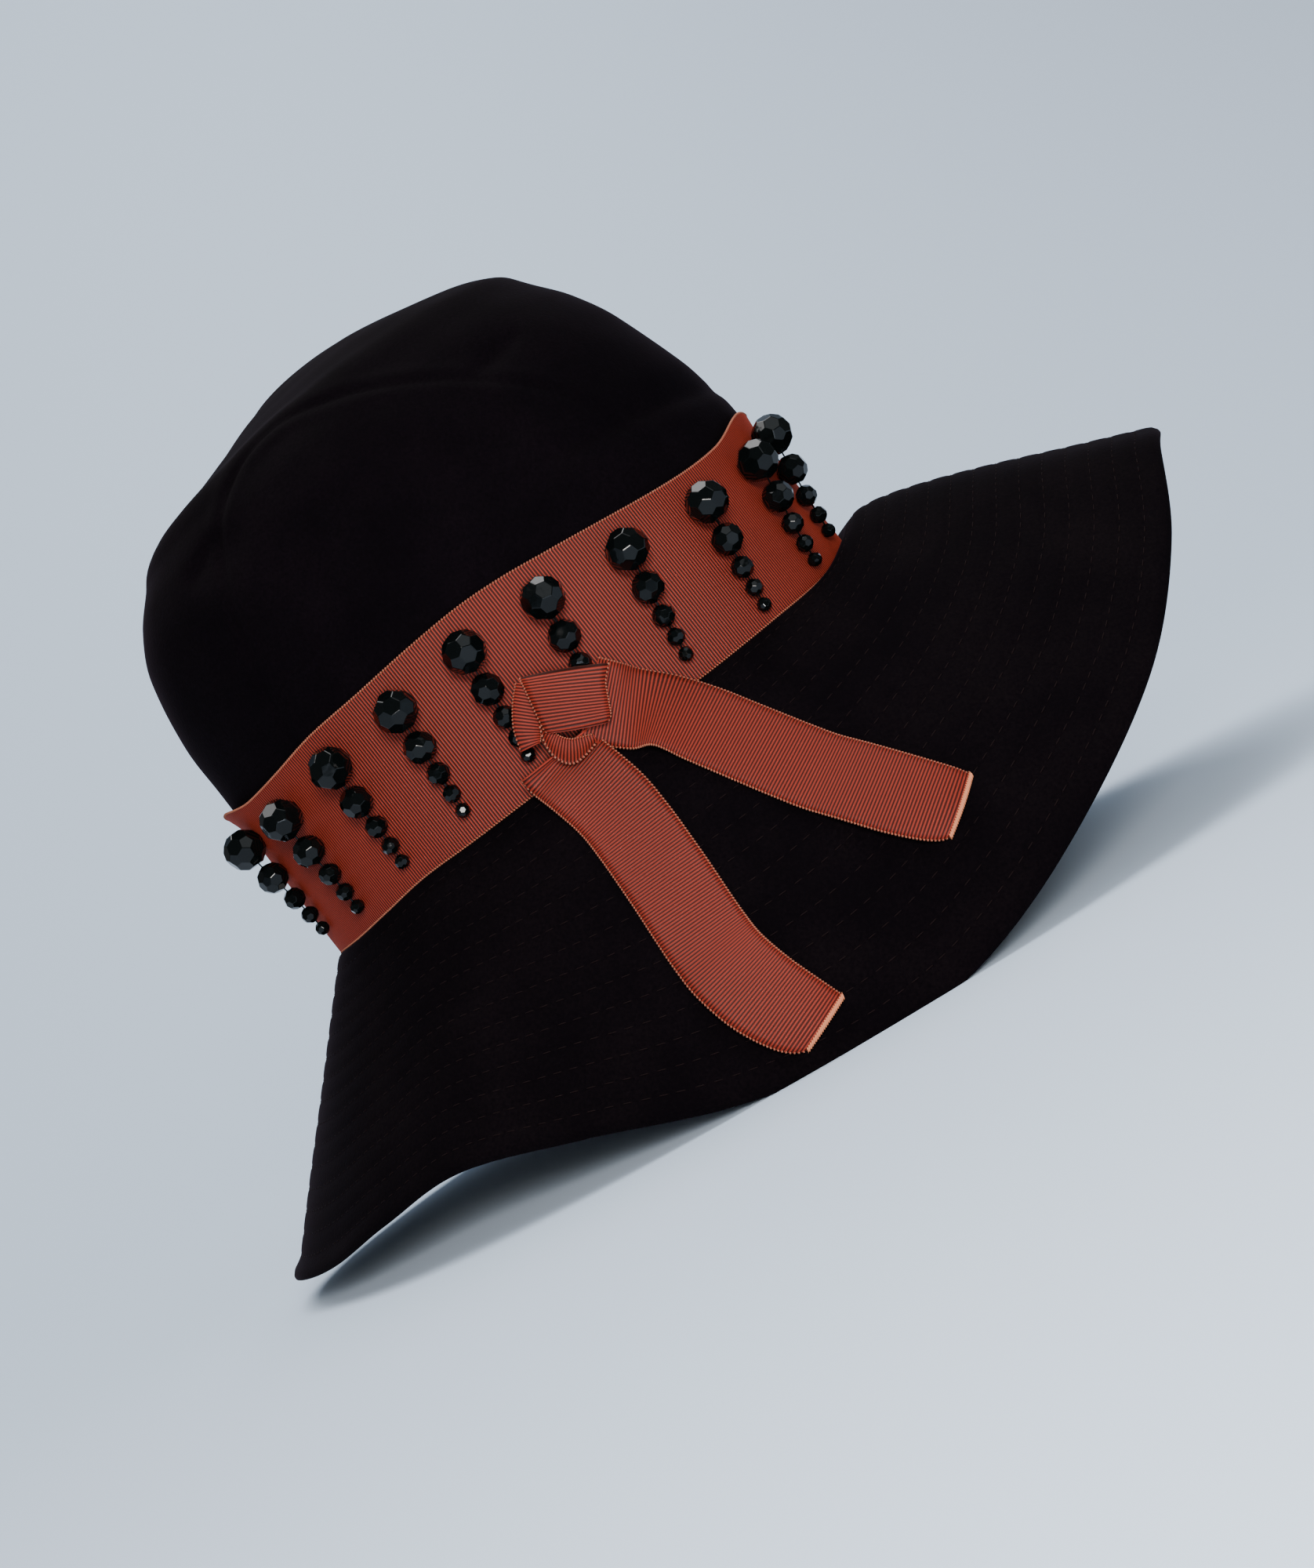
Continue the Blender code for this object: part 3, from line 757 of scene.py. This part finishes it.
def mark_rib_shade(piece, step_of):
    """Stores how high each point stands on its rib, as the mask for the material's painted shade in the
    valleys. step_of finds a point's rib step.
    """
    marks = piece.data.attributes.new("rib", "FLOAT", "POINT")
    for at, mark in enumerate(marks.data):
        mark.value = rib_rise(step_of(at)) ** RIB_SHADE


# the second colour is painted shade, for the valleys between the ribs
rust_grosgrain = grosgrain("rayon_grosgrain_rust", "#9E3423", "#120301")

# The weft's loops at the selvedges are worn, so they are paler and duller than the ribs.
selvedge_weft = new_material("worn_rayon_weft", Base_Color=linear("#8E5038"), Roughness=0.75)

ring_angles, band_length = band_ring()
ring_rows = band_rows(ring_angles)
hatband = band_mesh(ring_rows)
hatband.data.materials.append(rust_grosgrain)
mark_rib_shade(hatband, lambda at: at % len(ring_angles))
add_wall(hatband, BAND_CLOTH)
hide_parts("hatband")
outward_round = [band_outward(angle) for angle in ring_angles]
selvedge_mesh("hatband_selvedges", [(ring_rows[0], outward_round), (ring_rows[-1], outward_round)])


# Bead columns
# Five black pressed-glass beads of falling size, sewn to the band one below the other with black thread.
# Each bead has thirty-two flat facets, twelve five-sided and twenty six-sided, with fire-polished edges.

BEAD_DIAMETERS = (0.0133, 0.0100, 0.0070, 0.0056, 0.0046)
BEAD_SPACE = 0.6 * MM
BEAD_DROP = 0.012
COLUMN_LEAN = 0.13
COLUMN_PLACES = (0.100, 0.163, 0.256, 0.355, 0.447, 0.534, 0.620, 0.709, 0.799, 0.896)
BEAD_TIP = 0.35
FACET_SOFTNESS = 0.022
BEAD_THREAD = 0.5 * MM
GLASS_WOBBLE = 2.38 * MM


def bead_places(angle):
    """The middles of one column's beads, their radii and the direction that each faces, from the top."""
    places = []
    top = band_top(angle) - BEAD_DROP / BAND_WIDTH
    down = 0.0
    for number, diameter in enumerate(BEAD_DIAMETERS):
        radius = diameter / 2
        if number:
            down += BEAD_DIAMETERS[number - 1] / 2 + BEAD_SPACE + radius
        back = down * COLUMN_LEAN * sin(angle)
        step = hypot(CROWN_LENGTH / 2 * sin(angle), CROWN_WIDTH / 2 * cos(angle))
        turn = angle + back / step
        outward = band_outward(turn)
        places.append((band_point(turn, top - down / BAND_WIDTH) + outward * (radius + GAP), radius, outward))
    return places


def add_bead(bm, place, radius, outward, chance):
    """Adds a faceted bead, its hole along the thread and its facets turned as it happened to be sewn."""
    ball = bmesh.new()
    bmesh.ops.create_icosphere(ball, subdivisions=1, radius=radius)
    edge = max(edge.calc_length() for edge in ball.edges)
    bmesh.ops.bevel(ball, geom=ball.verts, offset=edge / 3, affect="VERTICES")
    for vert in ball.verts:
        vert.co = vert.co.normalized() * radius
    bmesh.ops.bevel(ball, geom=ball.edges, offset=FACET_SOFTNESS * radius, segments=1, affect="EDGES")
    spin = Matrix.Rotation(chance.uniform(0, 2 * pi), 4, outward)
    tip = Matrix.Rotation(chance.uniform(-BEAD_TIP, BEAD_TIP), 4, "Z")
    bmesh.ops.transform(ball, matrix=Matrix.Translation(place) @ spin @ tip, verts=ball.verts)
    mesh = bpy.data.meshes.new("bead")
    ball.to_mesh(mesh)
    ball.free()
    bm.from_mesh(mesh)
    bpy.data.meshes.remove(mesh)


def add_thread(bm, start, end):
    """Adds a short, six-sided length of thread."""
    axis = (end - start).normalized()
    side = axis.orthogonal().normalized() * BEAD_THREAD / 2
    other = axis.cross(side)
    rings = []
    for point in (start, end):
        rings.append([bm.verts.new(point + side * cos(a) + other * sin(a)) for a in turns(6)])
    for at in range(6):
        ahead = (at + 1) % 6
        bm.faces.new((rings[0][at], rings[0][ahead], rings[1][ahead], rings[1][at]))
    bm.faces.new(rings[0][::-1])
    bm.faces.new(rings[1])


# Black pressed glass, fire-polished: an opaque, glossy body that mirrors the room in each flat facet, with
# a slightly rounder, brighter line where two facets meet.
jet_glass = new_material("pressed_jet_glass", Base_Color=linear("#040606"), Roughness=0.06, IOR=1.56,
                         Specular_IOR_Level=0.13, Coat_Weight=0.12, Coat_Roughness=0.03)
glass_place = add_node(jet_glass, "ShaderNodeTexCoord").outputs["Object"]
# pressed facets are uneven by a few hundredths of a millimetre, in patches 2 to 3 mm across
glass_wobble = add_node(jet_glass, "ShaderNodeTexNoise", {"Vector": glass_place}, Scale=1 / GLASS_WOBBLE,
                        Detail=1.0)
glass_bump = add_node(jet_glass, "ShaderNodeBump", {"Height": glass_wobble.outputs["Fac"]}, Strength=0.12,
                      Distance=0.3 * MM)
into_shader(jet_glass, "Normal", glass_bump.outputs["Normal"])

half_round = [angle for angle in ring_angles if angle < pi]
for side, sign in (("right", -1), ("left", 1)):
    for number, share in enumerate(COLUMN_PLACES, start=1):
        column_angle = sign * half_round[round(share * (len(half_round) - 1))]
        chance = random.Random(100 * number + (sign > 0))
        bm = bmesh.new()
        beads = bead_places(column_angle)
        for place, radius, outward in beads:
            add_bead(bm, place, radius, outward, chance)
        middles = [place for place, radius, outward in beads]
        for start, end in zip(middles, middles[1:]):
            add_thread(bm, start, end)
        bmesh.ops.recalc_face_normals(bm, faces=bm.faces)
        bm.transform(laid)
        beaded = mesh_piece(f"glass_beads_{side}_{number:02d}", bm)
        beaded.data.shade_flat()
        beaded.data.materials.append(jet_glass)
        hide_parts(f"bead_column_{side}_{number:02d}")


# Knot and tails
# A narrower ribbon of the same grosgrain, sewn to the band at the wearer's right: a wrap, the fold beside it
# and a small cupped loop below it, and two tails that lie on the brim. The cut ends are turned under and
# whipped with pale peach thread.

RIBBON_WIDTH = 0.024
RIBBON_CLOTH = 0.5 * MM
RIBBON_SCALLOP = 0.14 * MM
KNOT_ANGLE = radians(-88.4)
KNOT_HEIGHT = 0.0150
KNOT_TURN = radians(38.5)
KNOT_STEPS = 12
ACROSS = 12
TAIL_STEPS = 12
TAIL_FINE = 10
ROLL_FROM = 0.80
ARCH_FROM = 0.66
END_ARCH = 2.4 * MM
END_DOME = 1.7 * MM
TAIL_WAVE = 1.2 * MM
TAIL_WAVES = 5
TAIL_WAVE_ROW = 10
HEM_RADIUS = 0.75 * MM
HEM_RIDGE = 0.20 * MM
HEM_TURN = 0.75 * MM
HEM_SLANT = 0.8
HEM_STEPS = 4

# along is a share of the tail, place a share of the way down the brim or, below 0, of the way up the band,
# and lift is in ribbon widths
Stop = namedtuple("Stop", "along angle place lift")
TAIL_UPPER = (
    Stop(0.00, -85.3, -0.235, 0.28),
    Stop(0.13, -81.6, -0.080, 0.22),
    Stop(0.27, -77.9, 0.10, 0.12),
    Stop(0.42, -75.8, 0.24, 0.06),
    Stop(0.70, -73.3, 0.48, 0.05),
    Stop(1.00, -70.3, 0.76, 0.06),
)
TAIL_LOWER = (
    Stop(0.00, -94.5, -0.10, 0.29),
    Stop(0.10, -94.5, 0.02, 0.22),
    Stop(0.25, -93.3, 0.20, 0.07),
    Stop(0.40, -93.9, 0.36, 0.05),
    Stop(0.75, -95.3, 0.69, 0.05),
    Stop(1.00, -93.3, 0.92, 0.06),
)

# the ribbon's left and right edges from row to row, in ribbon widths from the knot's middle
Fold = namedtuple("Fold", "left_along left_up left_out right_along right_up right_out")
KNOT_WRAP = (
    Fold(-0.500, 0.230, 0.340, 0.460, 0.400, 0.345),
    Fold(-0.545, 0.300, 0.365, 0.500, 0.480, 0.370),
    Fold(-0.480, 0.170, 0.400, 0.465, 0.270, 0.410),
    Fold(-0.375, -0.060, 0.410, 0.500, 0.040, 0.420),
    Fold(-0.270, -0.280, 0.400, 0.525, -0.130, 0.410),
    Fold(-0.210, -0.340, 0.375, 0.480, -0.215, 0.375),
)
KNOT_FOLD = (
    Fold(-0.595, 0.250, 0.300, -0.420, 0.230, 0.300),
    Fold(-0.630, 0.000, 0.310, -0.330, -0.050, 0.305),
    Fold(-0.620, -0.280, 0.310, -0.300, -0.300, 0.305),
    Fold(-0.530, -0.560, 0.305, -0.310, -0.450, 0.305),
)
KNOT_LOOP = (
    Fold(-0.310, -0.260, 0.395, -0.250, -0.230, 0.330),
    Fold(-0.250, -0.460, 0.400, -0.170, -0.310, 0.320),
    Fold(-0.120, -0.630, 0.405, -0.070, -0.380, 0.310),
    Fold(0.060, -0.700, 0.405, 0.050, -0.410, 0.305),
    Fold(0.210, -0.620, 0.400, 0.170, -0.390, 0.305),
    Fold(0.360, -0.450, 0.385, 0.320, -0.350, 0.310),
)


def outwards(facing):
    """The same direction, or its opposite where it points into the hat: the knot's side is -Y."""
    return -facing if facing.y > 0 else facing


def ribbon_mesh(name, rows, domes):
    """A ribbed ribbon through pairs of edge points, four rows to a rib, raised between its edges by domes."""
    lines = []
    facings = []
    for at, (left, right) in enumerate(rows):
        before = rows[max(at - 1, 0)]
        after = rows[min(at + 1, len(rows) - 1)]
        ahead = after[0] - before[0] + (after[1] - before[1])
        facing = outwards((right - left).cross(ahead).normalized())
        facings.append(facing)
        rib = RIB_HEIGHT * rib_rise(at)
        scallop = (left - right).normalized() * RIBBON_SCALLOP * cos(2 * pi * at / RIB_STEPS)
        line = []
        for step in range(ACROSS + 1):
            share = step / ACROSS
            dome = domes[at] * sin(pi * share)
            edge = step in (0, ACROSS)
            point = left.lerp(right, share) + facing * (dome + (SELVEDGE_HEIGHT * rib if edge else rib))
            if edge:
                point += scallop * (1 if step == 0 else -1)
            line.append(point)
        lines.append(line)
    bm = bmesh.new()
    woven(bm, lines, closed=False)
    bm.transform(laid)
    piece = mesh_piece(name, bm)
    piece.data.materials.append(knot_grosgrain_shaded)
    mark_rib_shade(piece, lambda at: at // (ACROSS + 1))
    add_wall(piece, RIBBON_CLOTH, offset=0)
    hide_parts(name.replace("_grosgrain", ""))
    edges = [([line[side] for line in lines], facings) for side in (0, -1)]
    selvedge_mesh(name.replace("_grosgrain", "_selvedges"), edges)
    return piece


def even_pairs(pairs):
    """Pairs of edge points at even steps along a ribbon, four to a rib, and the ribbon's length."""
    middles = [(left + right) / 2 for left, right in pairs]
    run = [0.0]
    for before, after in zip(middles, middles[1:]):
        run.append(run[-1] + (after - before).length)
    count = max(round(run[-1] / RIB), 2) * RIB_STEPS
    found = []
    for step in range(count + 1):
        wanted = min(run[-1] * step / count, run[-1] * 0.99999)
        high = bisect_right(run, wanted)
        share = (wanted - run[high - 1]) / (run[high] - run[high - 1])
        low_pair, high_pair = pairs[high - 1], pairs[high]
        found.append(tuple(low.lerp(end, share) for low, end in zip(low_pair, high_pair)))
    return found, run[-1]


def seat_of(angle, place):
    """A point on the brim's slope or, where place is negative, on the band."""
    return brim_point(angle, place) if place >= 0 else band_point(angle, -place)


def tail_edges(stops):
    """The two edges of one end of the ribbon, along its middle line on the brim."""
    middles = []
    facings = []
    for step in range(TAIL_STEPS + 1):
        along = step / TAIL_STEPS
        angle = radians(curve_value(stops, along, "angle"))
        place = curve_value(stops, along, "place")
        near = 0.05
        around = seat_of(angle + near, place) - seat_of(angle - near, place)
        down = seat_of(angle, place + near) - seat_of(angle, place - near)
        outward = down.cross(around).normalized()
        arch = END_ARCH * sin(pi * max(0.0, (along - ARCH_FROM) / (1 - ARCH_FROM)))
        lift = curve_value(stops, along, "lift") * RIBBON_WIDTH + arch
        middles.append(seat_of(angle, place) + outward * lift)
        facings.append(outward)
    first = []
    second = []
    for at, middle in enumerate(middles):
        ahead = middles[min(at + 1, TAIL_STEPS)] - middles[max(at - 1, 0)]
        across = facings[at].cross(ahead).normalized() * RIBBON_WIDTH / 2
        first.append(middle + across)
        second.append(middle - across)
    return smooth_line(first, TAIL_FINE), smooth_line(second, TAIL_FINE)


def ending(share):
    """How far into its rolled end a tail is, from 0 to 1 at the hem."""
    return max(0.0, (share - ROLL_FROM) / (1 - ROLL_FROM)) ** 2


def tail(name, stops, rolled):
    """A tail of the knot, whose end is turned under and whose lower corner rolls in."""
    first, second = tail_edges(stops)
    count = len(first) - 1
    pairs = []
    for at, (start, end) in enumerate(zip(first, second)):
        pairs.append((start, start.lerp(end, 1 - rolled * ending(at / count))))
    even, length = even_pairs(pairs)
    domes = []
    for at in range(len(even)):
        share = at / (len(even) - 1)
        wave = noise.noise(Vector((share * TAIL_WAVES, TAIL_WAVE_ROW, 0)))
        domes.append(END_DOME * ending(share) + TAIL_WAVE * wave * sin(pi * share))
    piece = ribbon_mesh(f"{name}_grosgrain", even, domes)
    hem_mesh(f"{name}_hem", *even[-1], *even[-2])


def hem_mesh(name, start, end, before_start, before_end):
    """The pale whipping over a cut end: a fine roll of slanting turns of thread."""
    run = end - start
    facing = outwards(run.cross(start - before_start + end - before_end).normalized())
    ahead = facing.cross(run).normalized()
    slant = run.normalized() * HEM_RADIUS * HEM_SLANT
    count = round(run.length / HEM_TURN) * HEM_STEPS
    rows = []
    for step in range(count + 1):
        share = step / count
        radius = HEM_RADIUS + HEM_RIDGE * cos(2 * pi * step / HEM_STEPS)
        middle = start + run * share + facing * END_DOME * sin(pi * share)
        rows.append([middle + (facing * cos(turn) + ahead * sin(turn)) * radius + slant * sin(turn)
                     for turn in turns(8)])
    bm = bmesh.new()
    lines = woven(bm, rows, closed=True)
    bm.faces.new(lines[0])
    bm.faces.new(lines[-1])
    bmesh.ops.recalc_face_normals(bm, faces=bm.faces)
    bm.transform(laid)
    hem = mesh_piece(name, bm)
    hem.data.materials.append(whipping_thread)


def knot_rows(folds):
    """Pairs of edge points of a folded stretch of ribbon, smooth from row to row."""
    outward = Vector((0, -1, 0))
    along = Vector((cos(KNOT_TURN), 0, -sin(KNOT_TURN)))
    up = Vector((sin(KNOT_TURN), 0, cos(KNOT_TURN)))
    middle = band_point(KNOT_ANGLE, KNOT_HEIGHT / BAND_WIDTH)
    left = [middle + RIBBON_WIDTH * (f.left_along * along + f.left_up * up + f.left_out * outward)
            for f in folds]
    right = [middle + RIBBON_WIDTH * (f.right_along * along + f.right_up * up + f.right_out * outward)
             for f in folds]
    return list(zip(smooth_line(left, KNOT_STEPS), smooth_line(right, KNOT_STEPS)))


# The narrower ribbon is woven the same way. Its material is a darker copy of the wide one's: painted shade
# that offsets the stronger light on the tails, which lie facing up on the brim.
knot_grosgrain_shaded = grosgrain("rayon_grosgrain_knot", "#8B2C1D", "#120301")

# Pale peach polyester thread, whipped over the cut ends so that they don't fray.
whipping_thread = new_material("peach_polyester_thread", Base_Color=linear("#BC724D"), Roughness=0.5)

tail("tail_upper", TAIL_UPPER, rolled=0.20)
tail("tail_lower", TAIL_LOWER, rolled=0.28)
for name, folds, bulge in (("knot_wrap", KNOT_WRAP, 0.8 * MM), ("knot_fold", KNOT_FOLD, 0.6 * MM),
                           ("knot_loop", KNOT_LOOP, -0.8 * MM)):
    knot_pairs = even_pairs(knot_rows(folds))[0]
    ribbon_mesh(f"{name}_grosgrain", knot_pairs, [bulge] * len(knot_pairs))


# Camera
# The photo's own viewpoint: level with the brim, close, and rolled, because the hat in the photo is worn
# tipped back. The hat here rests on its brim instead.

EYE = Vector((0.009, -0.675, -0.0167))
ROLL = radians(38.5)
# the lens's focal length and the picture's height, both in the photo's pixels
PHOTO_FOCAL = 2637.0
PHOTO_HEIGHT = 2000.0

camera_data = bpy.data.cameras.new("photo_camera")
camera_data.sensor_fit = "VERTICAL"
camera_data.sensor_height = 24
camera_data.lens = camera_data.sensor_height * PHOTO_FOCAL / PHOTO_HEIGHT
camera_data.clip_start = 0.05
camera_data.clip_end = 30
camera = bpy.data.objects.new("photo_camera", camera_data)
bpy.context.scene.collection.objects.link(camera)
right = Vector((cos(ROLL), 0, -sin(ROLL)))
above = Vector((sin(ROLL), 0, cos(ROLL)))
turned = Matrix((right, above, Vector((0, -1, 0)))).transposed().to_4x4()
camera.matrix_world = laid @ Matrix.Translation(EYE) @ turned
bpy.context.scene.camera = camera


# Studio
# A pale sweep of paper, floor and backdrop in one curve, lit by a large box of its own. The hat has one soft
# box above the camera, a weaker one from the upper right and a small lamp at the lens that gives the beads
# their glints.

SWEEP_WIDTH = 8.0
SWEEP_FRONT = -3.0
SWEEP_BACK = 0.7
SWEEP_BEND = 3.4
SWEEP_HEIGHT = 5.5
SWEEP_STEPS = 32

bm = bmesh.new()
profile = [(SWEEP_FRONT, 0.0), (SWEEP_BACK, 0.0)]
for step in range(1, SWEEP_STEPS + 1):
    bend = pi / 2 * step / SWEEP_STEPS
    profile.append((SWEEP_BACK + SWEEP_BEND * sin(bend), SWEEP_BEND * (1 - cos(bend))))
profile.append((SWEEP_BACK + SWEEP_BEND, SWEEP_HEIGHT))
sides = (-SWEEP_WIDTH / 2, SWEEP_WIDTH / 2)
woven(bm, [[Vector((x, y, z)) for x in sides] for y, z in profile], closed=False)
sweep_mesh = bpy.data.meshes.new("paper_sweep")
bm.to_mesh(sweep_mesh)
bm.free()
sweep_mesh.shade_smooth()
sweep = bpy.data.objects.new("paper_sweep", sweep_mesh)
bpy.context.scene.collection.objects.link(sweep)
# Matt, uncoated paper, dyed a pale blue-grey: it has no shine at all.
paper = new_material("matt_background_paper", Base_Color=linear("#CDDDF0"), Roughness=0.95,
                     Specular_IOR_Level=0.1)
sweep_mesh.materials.append(paper)

SoftBox = namedtuple("SoftBox", "name place aim size power colour")
SOFT_BOXES = (
    SoftBox("camera_softbox", (0.08, -1.08, 0.34), (0, 0, 0.12), 0.30, 13, "#FFFBF6"),
    SoftBox("upper_softbox", (0.75, -0.75, 1.15), (0, 0, 0.12), 0.9, 4, "#F2FAFF"),
    SoftBox("camera_glint", (-0.02, -0.72, 0.02), (0, 0, 0.10), 0.07, 1.8, "#FFFFFF"),
    SoftBox("sweep_light", (-0.2, 0.9, 3.6), (-0.2, 2.0, 0.9), 3.0, 170, "#FFFFFF"),
)
for box in SOFT_BOXES:
    light_data = bpy.data.lights.new(box.name, "AREA")
    light_data.size = box.size
    light_data.energy = box.power
    light_data.color = linear(box.colour)[:3]
    light = bpy.data.objects.new(box.name, light_data)
    light.location = box.place
    light.rotation_euler = (Vector(box.aim) - Vector(box.place)).to_track_quat("-Z", "Y").to_euler()
    bpy.context.scene.collection.objects.link(light)

world = bpy.data.worlds.new("studio")
bpy.context.scene.world = world
world.use_nodes = True
world.node_tree.nodes["Background"].inputs["Color"].default_value = linear("#D5DCE2")
world.node_tree.nodes["Background"].inputs["Strength"].default_value = 0.18
